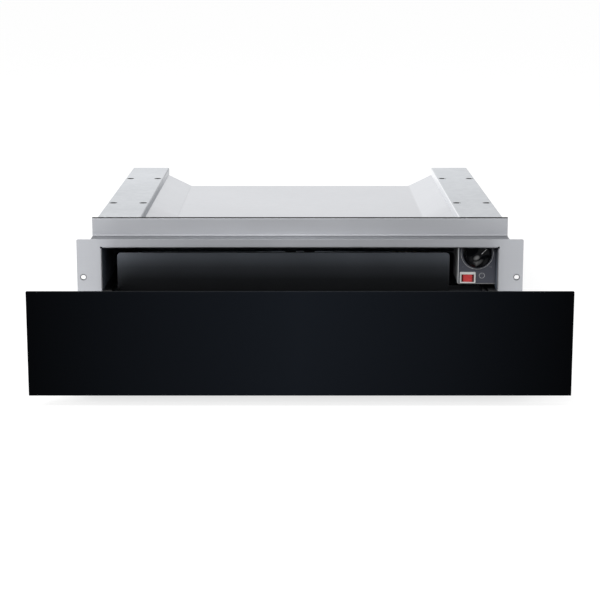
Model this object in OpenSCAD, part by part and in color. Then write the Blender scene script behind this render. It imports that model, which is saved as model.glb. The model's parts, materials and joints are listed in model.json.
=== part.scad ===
/* [Housing] */
// Width over the side panels
body_w = 542; // [538:1:560]
// Depth from the front frame to the back of the rear panel
body_d = 540; // [530:1:600]
// Height from the base to the top of the rails
body_h = 140; // [138:0.5:160]
// Thickness of the steel sheet
sheet_t = 1; // [0.8:0.1:1.2]
// Inner radius of a fold in the sheet
bend_r = 1; // [0.6:0.1:1.4]
// Width of each top rail
rail_w = 58.4; // [54:0.1:62]
// Depth of the lip along the inner edge of each rail
rail_lip = 10.5; // [8:0.5:12]
// Depth of the sunken middle of the top cover below the rails
cover_drop = 29.7; // [26:0.1:30]
// Width of the slope between a rail and the sunken middle
cover_slope_w = 36.4; // [30:0.1:44]
// Diameter of the holes in the rails
rail_hole_d = 10; // [6:0.5:11]
// Distance between the two holes across a rail
rail_hole_gap = 42; // [36:1:43]
// Distance from the front frame to the front pair of rail holes
rail_hole_front = 156; // [120:1:200]
// Distance between the front and the rear pair of rail holes
rail_hole_pitch = 254; // [200:1:280]
// Height of the flanges round the base pan
base_flange_h = 18; // [14:1:24]

/* [Front frame] */
// How far each ear of the frame stands out past the housing
ear_w = 25; // [23:0.5:28]
// Height of the frame's and the drawer front's lower edge above the base
frame_lift = 12.7; // [11:0.1:15]
// Height of the set-back bar above the frame
bar_h = 25.4; // [22:0.1:28]
// How far the set-back bar stands out past the housing at each end
bar_overhang = 6.5; // [2:0.5:10]
// Depth of the ledge between the frame and the bar
ledge_d = 25.5; // [22:0.5:30]
// Radius of the hollow bend at the foot of the bar
bar_foot_r = 2; // [1.5:0.5:6]
// How far the bar's edge stays below the rails
bar_drop = 1; // [0.5:0.1:3]
// Distance from the housing's side to the opening
opening_inset = 8.5; // [7:0.1:12]
// Height of the strip above the opening
lintel_h = 11.9; // [9:0.1:14]
// Height of the strip below the opening
sill_h = 3.3; // [2.5:0.1:5]
// Depth of the lips turned in round the opening
return_d = 6; // [4:0.5:7]
// Diameter of the screw holes in the frame's ears
ear_hole_d = 6.5; // [4:0.5:8]
// Distance from the frame's side edge to an ear's screw hole
ear_hole_inset = 8.2; // [7:0.1:11]

/* [Drawer front] */
// How far the glass front stands out past the frame at each end
front_overhang = 1.5; // [1:0.1:4]
// Height of the glass front
front_h = 116.4; // [110:0.1:122]
// Thickness of the glass
glass_t = 4; // [3:0.5:6]
// Width of the arris along the edges of the glass
glass_arris = 0.8; // [0.4:0.1:1.5]
// Depth from the glass face to the frame when closed
front_t = 20; // [18:0.5:26]
// How far the glass stands past the metal behind it
glass_overhang = 4; // [3:0.5:8]
// Thickness of the seal and buffers
seal_t = 2.7; // [2:0.1:3.5]

/* [Drawer] */
// How far the drawer stands open
drawer_open = 400; // [320:1:404]
// Gap between the sill and the tray's underside
tray_gap = 7.3; // [7:0.1:9]
// Thickness of the tray's sheet
tray_t = 1; // [0.8:0.1:1.2]
// Height of the tray's low sides
tray_side_h = 21; // [20:0.5:24]
// Height of the back wall above the base
back_wall_top = 91.2; // [80:0.1:96]
// Distance from the tray's rear edge to the back wall
back_wall_setback = 12.3; // [11:0.1:16]
// Gap between the tray's left side and the back wall
back_wall_left_gap = 4; // [3.5:0.1:8]
// Corner radius of the back wall
back_wall_r = 5; // [3:0.5:10]
// Thickness of the non-slip mat
mat_t = 2.5; // [2:0.1:3]
// Distance between the ribs of the mat
mat_pitch = 12; // [10:1:20]

/* [Runners] */
// Height of the outer runner member
runner_h = 28; // [27.5:0.5:30]
// Gap between the sill and the runners
runner_lift = 1; // [0.5:0.1:2]
// Thickness of the whole runner
runner_t = 12.7; // [12.5:0.1:13.5]
// Thickness of a runner's web
runner_web = 1.2; // [1:0.1:1.4]
// Thickness of a runner's ball track
track_t = 2; // [1.9:0.1:2.1]
// Diameter of the runner balls
ball_d = 3.5; // [3.4:0.1:3.7]
// Depth of a ball groove
groove_d = 0.7; // [0.6:0.05:0.75]
// Running clearance of the balls
ball_clearance = 0.05; // [0.03:0.01:0.08]
// Length of a ball cage
cage_len = 180; // [150:1:190]
// Balls in each row of a cage
balls_per_row = 6; // [4:1:9]

/* [Controls] */
// Gap between the frame and the control panel
fascia_y = 25; // [24:0.5:30]
// Width of the control box
control_w = 50.3; // [48:0.1:52]
// Gap between the right runner and the control box above it
control_gap = 4.6; // [1:0.1:6]
// Depth of the control box
control_d = 68; // [60:1:76]
// Distance from the opening's right edge to the knob's middle
knob_inset = 25; // [23:0.5:27]
// Gap between the control box's top and the knob
knob_top_gap = 2.7; // [2:0.1:4]
// Gap between the knob and the switch below it
knob_switch_gap = 5.5; // [5:0.1:8]
// Height of the knob
knob_h = 15; // [12:0.5:15.5]
// Angle that the knob is turned to
knob_angle = 45; // [0:5:270]
// Diameter of the thermostat's shaft
shaft_d = 6; // [5:0.5:7]
// Width of the switch's surround
switch_w = 21; // [19:0.5:22]
// Height of the switch's surround
switch_h = 15; // [13:0.5:16]
// Angle of the rocker to the panel
rocker_tilt = 8; // [5:0.5:10]

/* [Fan and heater] */
// Depth of the bay behind the cavity
rear_bay_d = 87.7; // [86:0.1:100]
// Radius of the fan wheel
fan_r = 33; // [28:0.5:34]
// Depth of the fan wheel
fan_d = 20; // [16:0.5:22]
// Blades of the fan wheel
blade_count = 22; // [12:1:30]
// Diameter of the motor's shaft
motor_shaft_d = 6; // [5:0.5:8]
// Radius of the motor
motor_r = 26; // [22:0.5:28]
// Diameter of the heater's tube
heater_d = 6.4; // [5:0.1:8]
// Diameter of the cable gland's bore
gland_bore_d = 8; // [6:0.5:10]
// How far the cable gland stands out behind
gland_out = 12; // [8:0.5:16]
// Travel of the push latch
latch_travel = 5; // [3:0.5:6]

/* [Hidden] */
$fn = 48;
seat = 0.3;                       // gap between seated pieces
run_gap = 0.05;                   // radial clearance of a shaft
bend_steps = 5;
eps = 0.01;

// The housing's own places: x from the middle, y from the frame's face, z from the base
front_y = (drawer_open + front_t - body_d - gland_out) / 2;
half_body = body_w / 2;
frame_w = body_w + 2 * ear_w;
bar_w = body_w + 2 * bar_overhang;
front_w = frame_w + 2 * front_overhang;
inner_x = half_body - sheet_t;
rail_in = half_body - rail_w;
rail_hole_x = half_body - rail_w / 2;
cover_z = body_h - cover_drop;
cover_flange_x = rail_in + sheet_t;
cover_seam = seat + 0.65 * bend_r;
frame_top = body_h - bar_h;
frame_mid = (frame_lift + frame_top) / 2;
bar_top = body_h - bar_drop;
bar_back = ledge_d + sheet_t;
hem_d = 2.6;
opening_x = half_body - opening_inset;
opening_z0 = frame_lift + sill_h;
opening_z1 = frame_top - lintel_h;
ear_hole_x = frame_w / 2 - ear_hole_inset;
rear_y = body_d - sheet_t;
rear_flange_w = 14;

// Liner and rear compartment
liner_t = 0.8;
liner_out_x = opening_x + liner_t;
liner_y0 = return_d + seat;
liner_tail = 5;
liner_y1 = rear_y - rear_bay_d;
runner_y1 = liner_y1 - liner_tail;
air_back = liner_y1 + sheet_t;
fan_z = cover_z / 2;
heater_r = fan_r + heater_d / 2 + 6;
heater_y = air_back + 3 + heater_d / 2;
fan_y = air_back + 4;
bracket_y = fan_y + fan_d + 4;
bracket_t = 1.5;
motor_y = bracket_y + bracket_t;
motor_len = 30;
boss_r = 9;

// Heights of the tray and the runners
tray_z = opening_z0 + tray_gap;
runner_z = opening_z0 + runner_lift + runner_h / 2;

// Controls
control_x1 = opening_x - seat;
control_x0 = control_x1 - control_w;
control_bottom = runner_z + runner_h / 2 + control_gap;
control_top = frame_top - sheet_t - seat;
control_sheet = 1;
fascia_t = 2;
switch_inset = 13.3;
switch_rise = 9;
switch_x = control_x0 + switch_inset;
switch_z = control_bottom + switch_rise;
switch_top = switch_z + switch_h / 2;
knob_x = opening_x - knob_inset;
knob_side_gap = 5.8;
knob_d = min(2 * (knob_inset - knob_side_gap), control_top - knob_top_gap - switch_top - knob_switch_gap);
knob_z = control_top - knob_top_gap - knob_d / 2;
thermostat_z0 = switch_top + 5;
thermostat_z1 = control_top - control_sheet - 3;
bezel_t = 1.8;
rocker_w = switch_w - 4.2;
rocker_h = switch_h - 5.2;
rocker_gap = 0.3;
rocker_drop = 0.9;
rocker_z = switch_z - rocker_drop;
switch_edge_x = 1.1;
switch_edge_z = 0.4;
rocker_axis_y = fascia_y + 1.5;

// Drawer, in the closed position
carrier_y0 = glass_t - front_t;
carrier_y1 = -seal_t - seat;
tray_x = opening_x - runner_t;
tray_floor = tray_z + tray_t;
tray_top = tray_z + tray_side_h;
tray_y1 = runner_y1 - 3;
tray_lip = 6;
back_wall_y = tray_y1 - back_wall_setback;
back_wall_x0 = back_wall_left_gap - tray_x;
back_wall_x1 = control_x0 - 10.8;
mat_margin = 3;

// Runner section: u from the liner wall inwards, v up and down from the middle
ball_r = ball_d / 2;
groove_r = ball_r + ball_clearance;
outer_v = runner_h / 2 - track_t;
outer_ball_v = outer_v + groove_d - ball_r;
middle_v = outer_ball_v - ball_r + groove_d;
inner_ball_v = middle_v - track_t + groove_d - ball_r;
inner_v = inner_ball_v - ball_r + groove_d;
middle_u = runner_web + 1.8;
outer_ball_u = middle_u + 3.2;
inner_ball_u = outer_ball_u + 3;
arm_u = runner_t - 1.5;
cage_t = 0.8;
cage_web = 0.6;
outer_cage_u = runner_web + 0.6;
inner_cage_u = middle_u + runner_web + 0.6;
inner_arm_u = inner_cage_u + cage_web + 0.9;
middle_y0 = liner_y0 + 20;
middle_y1 = runner_y1 - 20;
outer_cage_y = (liner_y0 + middle_y1 - cage_len) / 2;
inner_cage_y = (middle_y0 + runner_y1 - cage_len) / 2;
ball_pitch = (cage_len - 12) / (balls_per_row - 1);

// Latch and cable entry
latch_x = -0.6 * tray_x;
latch_z = runner_z;
latch_w = 24;
latch_h = 20;
latch_len = 46;
plunger_r = 3.5;
striker_t = 3;
gland_x = half_body - 46;
gland_z = 34;
gland_r = 10;
block_x = half_body - 121;
block_w = 60;
block_d = 22;
block_h = 20;

// Folded sheet: the line p is one face, the sheet lies on its left with thickness t
function unit(v) = v / norm(v);
function left_of(a, b) = let (d = unit(b - a)) [-d[1], d[0]];
function turns_left(p, i) = cross(p[i] - p[i - 1], p[i + 1] - p[i]) > 0;
function shifted_at(p, i, t) =
    i == 0 ? p[0] + t * left_of(p[0], p[1]) :
    i == len(p) - 1 ? p[i] + t * left_of(p[i - 1], p[i]) :
    let (n = left_of(p[i - 1], p[i]), m = left_of(p[i], p[i + 1])) p[i] + t * (n + m) / (1 + n * m);
function shifted(p, t) = [for (i = [0 : len(p) - 1]) shifted_at(p, i, t)];
function turned(v, a) = [v[0] * cos(a) - v[1] * sin(a), v[0] * sin(a) + v[1] * cos(a)];
function fillet(a, b, c, r) =
    let (u = unit(a - b), w = unit(c - b), half = acos(u * w) / 2)
    let (mid = b + unit(u + w) * r / sin(half), from = b + u * r / tan(half) - mid)
    let (sweep = -sign(cross(u, w)) * (180 - 2 * half))
    [for (k = [0 : bend_steps]) mid + turned(from, sweep * k / bend_steps)];
function filleted(p, radii) = concat([p[0]],
    [for (i = [1 : len(p) - 2]) each fillet(p[i - 1], p[i], p[i + 1], radii[i - 1])],
    [p[len(p) - 1]]);
function backwards(p) = [for (i = [len(p) - 1 : -1 : 0]) p[i]];
function radii_of(p, r, extra_left, extra_right) = [for (i = [1 : len(p) - 2])
    (is_list(r) ? r[i - 1] : r) + (turns_left(p, i) ? extra_left : extra_right)];
module folded(p, t = sheet_t, r = bend_r) {
    near = filleted(p, radii_of(p, r, t, 0));
    far = filleted(shifted(p, t), radii_of(p, r, 0, t));
    polygon(concat(near, backwards(far)));
}

// Placing
module in_housing() {
    translate([0, front_y, 0]) children();
}
module on_drawer(share = 1) {
    translate([0, front_y - share * drawer_open, 0]) children();
}
module mirrored() {
    mirror([1, 0, 0]) children();
}
module both_sides() {
    children();
    mirrored() children();
}
module along_y(y0, y1) {
    translate([0, y1, 0]) rotate([90, 0, 0]) linear_extrude(y1 - y0) children();
}
module along_x(x0, x1) {
    translate([x0, 0, 0]) rotate([90, 0, 90]) linear_extrude(x1 - x0) children();
}
module box(lo, hi) {
    translate(lo) cube(hi - lo);
}
module rod_y(x, z, y0, y1, r) {
    translate([x, y1, z]) rotate([90, 0, 0]) cylinder(h = y1 - y0, r = r);
}
module rod_z(x, y, z0, z1, r) {
    translate([x, y, z0]) cylinder(h = z1 - z0, r = r);
}
module rod_x(y, z, x0, x1, r) {
    translate([x0, y, z]) rotate([0, 90, 0]) cylinder(h = x1 - x0, r = r);
}
module rectangle(x0, z0, x1, z1) {
    translate([x0, z0]) square([x1 - x0, z1 - z0]);
}
module rounded_rectangle(x0, z0, x1, z1, r) {
    rectangle(x0 + r, z0, x1 - r, z1);
    rectangle(x0, z0 + r, x1, z1 - r);
    for (x = [x0 + r, x1 - r], z = [z0 + r, z1 - r]) translate([x, z]) circle(r);
}
module slot(x, z, length, width) {
    rectangle(x - length / 2 + width / 2, z - width / 2, x + length / 2 - width / 2, z + width / 2);
    for (s = [-1, 1]) translate([x + s * (length - width) / 2, z]) circle(width / 2);
}

// ---- Housing ----
bead_h = 3;
bead_w = 18;
bead_len = 2 * (opening_x - 62);
bead_count = 5;
bead_margin = 84;
bead_pitch = (liner_y1 - liner_y0 - 2 * bead_margin) / (bead_count - 1);
function bead_places() = [for (i = [0 : bead_count - 1]) liner_y0 + bead_margin + i * bead_pitch];
module bead(x, y, length, width, up) {
    translate([x, y, up]) linear_extrude(bead_h) slot(0, 0, length, width);
}
module base_pan() {
    pan_x = inner_x;
    color("lightsteelblue") in_housing() difference() {
        union() {
            along_y(sheet_t, rear_y) folded([[-pan_x, base_flange_h], [-pan_x, 0],
                [pan_x, 0], [pan_x, base_flange_h]]);
            along_x(-opening_x, opening_x) folded([[sheet_t, opening_z0 - sheet_t - 2 * seat],
                [sheet_t, 0], [sheet_t + 10, 0]]);
            along_x(-opening_x, opening_x) folded([[rear_y - 10, 0], [rear_y, 0],
                [rear_y, base_flange_h]]);
            for (y = bead_places()) bead(0, y, bead_len, bead_w, 0);
        }
        for (y = bead_places())
            bead(0, y, bead_len - 2 * sheet_t, bead_w - 2 * sheet_t, -sheet_t);
        for (p = base_screws()) rod_y(p[0], p[1], rear_y - 5, rear_y + 1, screw_hole_r);
        translate([0, rear_y - 45, -eps]) linear_extrude(sheet_t + 2 * eps)
            for (i = [-5 : 5], y = [0, 14]) slot(i * 34, y, 24, 5);
    }
}

module side_panel() {
    wall_top = frame_top - sheet_t - seat;
    difference() {
        union() {
            along_y(bar_back + hem_d, body_d) folded([[half_body, 0], [half_body, body_h],
                [rail_in, body_h], [rail_in, body_h - rail_lip]]);
            box([inner_x, sheet_t, 0], [half_body, bar_back + hem_d, wall_top]);
            box([inner_x, sheet_t, frame_lift], [ear_hole_x + ear_hole_d, 2 * sheet_t, wall_top]);
            box([inner_x - rear_flange_w, rear_y - sheet_t, base_flange_h + 2],
                [inner_x + eps, rear_y, body_h - 8]);
        }
        along_y(0, 3 * sheet_t) slot(ear_hole_x, frame_mid, ear_hole_d + 2, ear_hole_d - 1.6);
        for (p = bracket_screws())
            rod_x(p[0], p[1], inner_x - 1, half_body + 1, bracket_screw_r + 0.1);
        for (x = [-0.5, 0.5], y = [0, 1])
            rod_z(rail_hole_x + x * rail_hole_gap, rail_hole_front + y * rail_hole_pitch,
                body_h - 2 * sheet_t, body_h + 1, rail_hole_d / 2);
        for (p = side_screws()) rod_y(p[0], p[1], rear_y - 5, rear_y + 1, screw_hole_r);
    }
}
module left_side_panel() {
    color("silver") in_housing() mirrored() side_panel();
}
module right_side_panel() {
    color("silver") in_housing() side_panel();
}

fold_w = bend_r + sheet_t;
module frame_face() {
    difference() {
        rounded_rectangle(-frame_w / 2, frame_lift, frame_w / 2, frame_top, 2);
        rectangle(-opening_x - fold_w, opening_z0, opening_x + fold_w, opening_z1 + fold_w);
        for (x = [-1, 1]) translate([x * ear_hole_x, frame_mid]) circle(ear_hole_d / 2);
    }
}
module front_frame() {
    bar_x = bar_w / 2;
    relief = 0.6;
    past_fold = fold_w + 1;
    color("darkgray") in_housing() {
        along_y(0, sheet_t) frame_face();
        along_x(-bar_x, bar_x) folded([[ledge_d + hem_d, bar_top - 10], [ledge_d + hem_d, bar_top],
            [ledge_d, bar_top], [ledge_d, frame_top], [0, frame_top], [0, frame_top - 5]],
            r = [0.3, 0.2, bar_foot_r, bend_r]);
        both_sides() translate([0, 0, opening_z0 + relief])
            linear_extrude(opening_z1 - opening_z0 - 2 * relief)
            folded([[opening_x, return_d], [opening_x, 0], [opening_x + past_fold, 0]]);
        along_x(-opening_x + relief, opening_x - relief)
            folded([[0, opening_z1 + past_fold], [0, opening_z1], [return_d, opening_z1]]);
        box([-opening_x + relief, sheet_t / 2, opening_z0 - sheet_t],
            [opening_x - relief, return_d, opening_z0]);
    }
}

slope_x = rail_in - cover_slope_w;
cover_top = body_h - sheet_t - bend_r - seat;
slope_top = body_h - rail_lip - cover_seam;
module top_cover() {
    color("whitesmoke") in_housing() {
        along_y(bar_back + hem_d, body_d) folded([[cover_flange_x, cover_top],
            [cover_flange_x, slope_top], [slope_x, cover_z], [-slope_x, cover_z],
            [-cover_flange_x, slope_top], [-cover_flange_x, cover_top]]);
        along_x(-slope_x + 2, slope_x - 2) folded([[bar_back + hem_d + 10, cover_z],
            [bar_back + hem_d, cover_z], [bar_back + hem_d, body_h - 12]]);
    }
}

// Screws of the rear panel
screw_r = 1.9;
screw_hole_r = screw_r + 0.1;
screw_head_r = 3.8;
screw_head_h = 2.4;
function base_screws() = [for (i = [-2 : 2]) [i * opening_x * 0.46, base_flange_h / 2]];
function side_screws() = [for (z = [0.38, 0.86]) [inner_x - rear_flange_w / 2, z * body_h]];
function back_screws() = concat(base_screws(), side_screws(),
    [for (p = side_screws()) [-p[0], p[1]]]);
module screw_y(x, z, y, length) {
    difference() {
        union() {
            rod_y(x, z, y - length, y, screw_r);
            translate([x, y, z]) rotate([-90, 0, 0]) cylinder(h = 1, r = screw_head_r);
            translate([x, y + 1, z]) rotate([-90, 0, 0])
                cylinder(h = screw_head_h - 1, r1 = screw_head_r, r2 = screw_head_r - 1.2);
        }
        for (a = [0, 90]) translate([x, y + screw_head_h, z]) rotate([0, a + 20, 0])
            cube([4.4, 2.4, 0.9], center = true);
    }
}
module rear_screws() {
    color("gainsboro") in_housing() for (p = back_screws()) screw_y(p[0], p[1], body_d, 5);
}

vent_cols = 3;
vent_rows = 9;
vent_len = 38;
vent_w = 4;
module rear_vents() {
    for (col = [1 : vent_cols], row = [1 : vent_rows])
        slot((col - (vent_cols + 1) / 2) * (vent_len + 2 * vent_w),
            fan_z + (row - (vent_rows + 1) / 2) * 2 * vent_w, vent_len, vent_w);
}
module rear_panel() {
    top = body_h - sheet_t - seat;
    under = cover_z - sheet_t - seat;
    color("silver") in_housing() difference() {
        along_y(rear_y, body_d) difference() {
            polygon([[-inner_x, sheet_t], [inner_x, sheet_t], [inner_x, top],
                [cover_flange_x + sheet_t + seat, top],
                [cover_flange_x + sheet_t + seat, slope_top - sheet_t - 1],
                [slope_x, under], [-slope_x, under],
                [-cover_flange_x - sheet_t - seat, slope_top - sheet_t - 1],
                [-cover_flange_x - sheet_t - seat, top], [-inner_x, top]]);
            rear_vents();
            translate([gland_x, gland_z]) circle(gland_neck_r + 0.1);
        }
        for (p = back_screws()) rod_y(p[0], p[1], rear_y - 1, body_d + 1, screw_hole_r);
    }
}

// ---- Cavity ----
module cavity_liner() {
    r = 1.5;
    color("#1b1c1e") in_housing() difference() {
        along_y(liner_y0, liner_y1) difference() {
            rectangle(-liner_out_x, opening_z0 - liner_t, liner_out_x, opening_z1 + liner_t);
            rounded_rectangle(-opening_x, opening_z0, opening_x, opening_z1, r);
        }
        box([control_x0 - seat, liner_y0 - 1, opening_z1 - r - 1],
            [liner_out_x + 1, fascia_y + control_d + seat, opening_z1 + 2]);
    }
}
outlet_h = 46;
outlet_w = 5;
module air_panel() {
    outlet_x = 150;
    color("#26272a") in_housing() along_y(liner_y1, air_back) difference() {
        rectangle(-inner_x + seat, base_flange_h + seat, inner_x - seat, cover_z - sheet_t - seat);
        translate([0, fan_z]) for (ring = [1 : 4], k = [0 : 6 * ring - 1])
            rotate(k * 60 / ring) translate([ring * 6.5, 0]) circle(2.2);
        for (s = [-1, 1], i = [-4 : 4]) translate([s * outlet_x + i * 2.2 * outlet_w, fan_z])
            rotate(90) slot(0, 0, outlet_h, outlet_w);
        translate([latch_x, latch_z]) circle(plunger_r + 1);
    }
}
module hat_section(width, height, foot, t) {
    folded([[width / 2 + foot, t], [width / 2, t], [width / 2, height],
        [-width / 2, height], [-width / 2, t], [-width / 2 - foot, t]], t = t, r = 0.5);
}
support_end = 30;
support_w = 24;
function support_places() = [for (i = [0 : 2]) bead_places()[0] - bead_pitch / 2 + 2 * i * bead_pitch];
module liner_supports() {
    color("silver") in_housing() for (y = support_places())
        translate([0, y, sheet_t]) along_x(-opening_x + support_end, opening_x - support_end)
            hat_section(support_w, opening_z0 - liner_t - sheet_t, 8, sheet_t);
}
bracket_len = 30;
bracket_end = 62;
bracket_screw_r = 2.4;
function bracket_places() = [liner_y0 + bracket_end, runner_y1 - bracket_end - bracket_len];
function bracket_screws() = [for (y = bracket_places(), d = [0.25, 0.75])
    [y + d * bracket_len, runner_z]];
module runner_brackets() {
    up = runner_h / 2 - 4;
    head = half_body + seat;
    color("silver") in_housing() both_sides() {
        for (y = bracket_places())
            box([liner_out_x, y, runner_z - up], [inner_x, y + bracket_len, runner_z + up]);
        for (p = bracket_screws()) difference() {
            union() {
                rod_x(p[0], p[1], inner_x - 1, head + 0.5, bracket_screw_r);
                rod_x(p[0], p[1], head, head + 1.6, 1.8 * bracket_screw_r);
            }
            for (a = [30, 120]) translate([head + 1.6, p[0], p[1]]) rotate([a, 0, 0])
                cube([1.6, 5, 0.9], center = true);
        }
    }
}
module insulation_mat() {
    color("khaki") in_housing() box([-slope_x + 10, fascia_y + control_d + 17, opening_z1 + liner_t + seat],
        [slope_x - 10, liner_y1 - 10, cover_z - sheet_t - seat]);
}

// ---- Runners ----
module at_wall() {
    translate([opening_x, runner_z]) mirror([1, 0]) children();
}
module channel(u0, u1, web, v, track) {
    difference() {
        rectangle(u0, -v, u1, v);
        rectangle(u0 + web, -v + track, u1 + 1, v - track);
    }
}
module grooves(u, v) {
    for (s = [-1, 1]) translate([u, s * v]) circle(groove_r);
}
module outer_runner() {
    color("silver") along_y(liner_y0, runner_y1) at_wall() difference() {
        channel(0, arm_u, runner_web, runner_h / 2, track_t);
        grooves(outer_ball_u, outer_ball_v);
    }
}
module middle_runner() {
    color("gainsboro") difference() {
        along_y(middle_y0, middle_y1) at_wall() difference() {
            channel(middle_u, arm_u, runner_web, middle_v, track_t);
            grooves(outer_ball_u, outer_ball_v);
            grooves(inner_ball_u, inner_ball_v);
        }
        for (share = [0.2, 0.5, 0.8])
            along_x(opening_x - middle_u - runner_web - 1, opening_x - middle_u + 1)
            slot(middle_y0 + share * (middle_y1 - middle_y0), runner_z, 32, 5);
    }
}
rivet_r = 2;
rivet_head = 1.2;
function rivet_places() = [for (i = [0 : 3]) liner_y0 + (0.1 + 0.26 * i) * (runner_y1 - liner_y0)];
module inner_runner() {
    channel_x = tray_x + runner_web;
    inside_x = tray_x - tray_t - seat;
    color("silver") {
        along_y(liner_y0, runner_y1) at_wall() difference() {
            rectangle(inner_arm_u, -inner_v, runner_t, inner_v);
            rectangle(inner_arm_u - 1, -inner_v + track_t, runner_t - runner_web, inner_v - track_t);
            grooves(inner_ball_u, inner_ball_v);
        }
        for (y = rivet_places()) {
            rod_x(y, runner_z, inside_x - 0.5, channel_x - 0.2, rivet_r);
            rod_x(y, runner_z, channel_x - 0.2, channel_x + rivet_head, 1.6 * rivet_r);
            rod_x(y, runner_z, inside_x - rivet_head, inside_x, 1.6 * rivet_r);
        }
    }
}
module ball_cage(y0, u0, ball_u, ball_v) {
    u1 = ball_u + ball_r + 0.3;
    v1 = ball_v + cage_t / 2;
    color("dimgray") difference() {
        along_y(y0, y0 + cage_len) at_wall() difference() {
            rectangle(u0, -v1, u1, v1);
            rectangle(u0 + cage_web, -v1 + cage_t, u1 + 1, v1 - cage_t);
        }
        for (k = [0 : balls_per_row - 1])
            rod_z(opening_x - ball_u, y0 + 6 + k * ball_pitch, runner_z - v1 - 1,
                runner_z + v1 + 1, groove_r);
    }
}
module ball_rows(y0, ball_u, ball_v) {
    color("white") for (k = [0 : balls_per_row - 1], s = [-1, 1])
        translate([opening_x - ball_u, y0 + 6 + k * ball_pitch, runner_z + s * ball_v])
            sphere(ball_r);
}
module left_outer_runner() {
    in_housing() mirrored() outer_runner();
}
module right_outer_runner() {
    in_housing() outer_runner();
}
module left_middle_runner() {
    on_drawer(0.5) mirrored() middle_runner();
}
module right_middle_runner() {
    on_drawer(0.5) middle_runner();
}
module left_inner_runner() {
    on_drawer() mirrored() inner_runner();
}
module right_inner_runner() {
    on_drawer() inner_runner();
}
module left_outer_cage() {
    on_drawer(0.25) mirrored() ball_cage(outer_cage_y, outer_cage_u, outer_ball_u, outer_ball_v);
}
module right_outer_cage() {
    on_drawer(0.25) ball_cage(outer_cage_y, outer_cage_u, outer_ball_u, outer_ball_v);
}
module left_outer_balls() {
    on_drawer(0.25) mirrored() ball_rows(outer_cage_y, outer_ball_u, outer_ball_v);
}
module right_outer_balls() {
    on_drawer(0.25) ball_rows(outer_cage_y, outer_ball_u, outer_ball_v);
}
module left_inner_cage() {
    on_drawer(0.75) mirrored() ball_cage(inner_cage_y, inner_cage_u, inner_ball_u, inner_ball_v);
}
module right_inner_cage() {
    on_drawer(0.75) ball_cage(inner_cage_y, inner_cage_u, inner_ball_u, inner_ball_v);
}
module left_inner_balls() {
    on_drawer(0.75) mirrored() ball_rows(inner_cage_y, inner_ball_u, inner_ball_v);
}
module right_inner_balls() {
    on_drawer(0.75) ball_rows(inner_cage_y, inner_ball_u, inner_ball_v);
}

// ---- Controls ----
module control_box() {
    s = control_sheet;
    color("gray") in_housing() difference() {
        box([control_x0, fascia_y, control_bottom], [control_x1, fascia_y + control_d, control_top]);
        box([control_x0 + s, fascia_y - 1, control_bottom + s],
            [control_x1 - s, fascia_y + control_d - s, control_top - s]);
        box([control_x1 - s - 1, fascia_y - 1, control_bottom + s],
            [control_x1 + 1, fascia_y + 2 * seat + fascia_t, control_top - s]);
        for (z = [0, 1, 2]) box([control_x0 + 12, fascia_y + control_d - 2, control_bottom + 16 + 14 * z],
            [control_x1 - 12, fascia_y + control_d + 1, control_bottom + 20 + 14 * z]);
    }
}
module control_fascia() {
    edge = control_sheet + 0.1;
    color("#4a4b52") in_housing() difference() {
        along_y(fascia_y + 0.2, fascia_y + 0.2 + fascia_t) difference() {
            rounded_rectangle(control_x0 + edge, control_bottom + edge, control_x1 - 0.1,
                control_top - edge, 1);
            translate([knob_x, knob_z]) circle(bush_r + 0.2);
            translate([switch_x, switch_z]) switch_section(0.1);
        }
    }
}

bush_r = 4.5;
thermostat_y = fascia_y + 0.2 + fascia_t;
thermostat_d = 22;
thermostat_w = 22;
module thermostat_body() {
    w = thermostat_w / 2;
    color("tan") in_housing() difference() {
        union() {
            along_y(thermostat_y, thermostat_y + thermostat_d)
                rounded_rectangle(knob_x - w, thermostat_z0, knob_x + w, thermostat_z1, 3);
            rod_y(knob_x, knob_z, fascia_y - 2.4, thermostat_y + 1, bush_r);
            for (z = [-9, 0, 9]) box([knob_x - 3.2, thermostat_y + thermostat_d - 1, knob_z + z - 0.4],
                [knob_x + 3.2, thermostat_y + thermostat_d + 8, knob_z + z + 0.4]);
        }
        rod_y(knob_x, knob_z, fascia_y - 3, thermostat_y + thermostat_d - 4, shaft_d / 2 + run_gap);
    }
}
knob_back = fascia_y - 3;
shaft_flat = 0.75;
module d_section(r) {
    difference() {
        circle(r);
        rectangle(-r - 1, r - 2 * r * (1 - shaft_flat), r + 1, r + 1);
    }
}
module thermostat_shaft() {
    color("gainsboro") in_housing() translate([knob_x, 0, knob_z]) {
        along_y(knob_back + 0.2, thermostat_y + thermostat_d - 5) circle(shaft_d / 2);
        along_y(knob_back - 9, knob_back + 0.3) rotate(-knob_angle) d_section(shaft_d / 2);
    }
}
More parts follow.
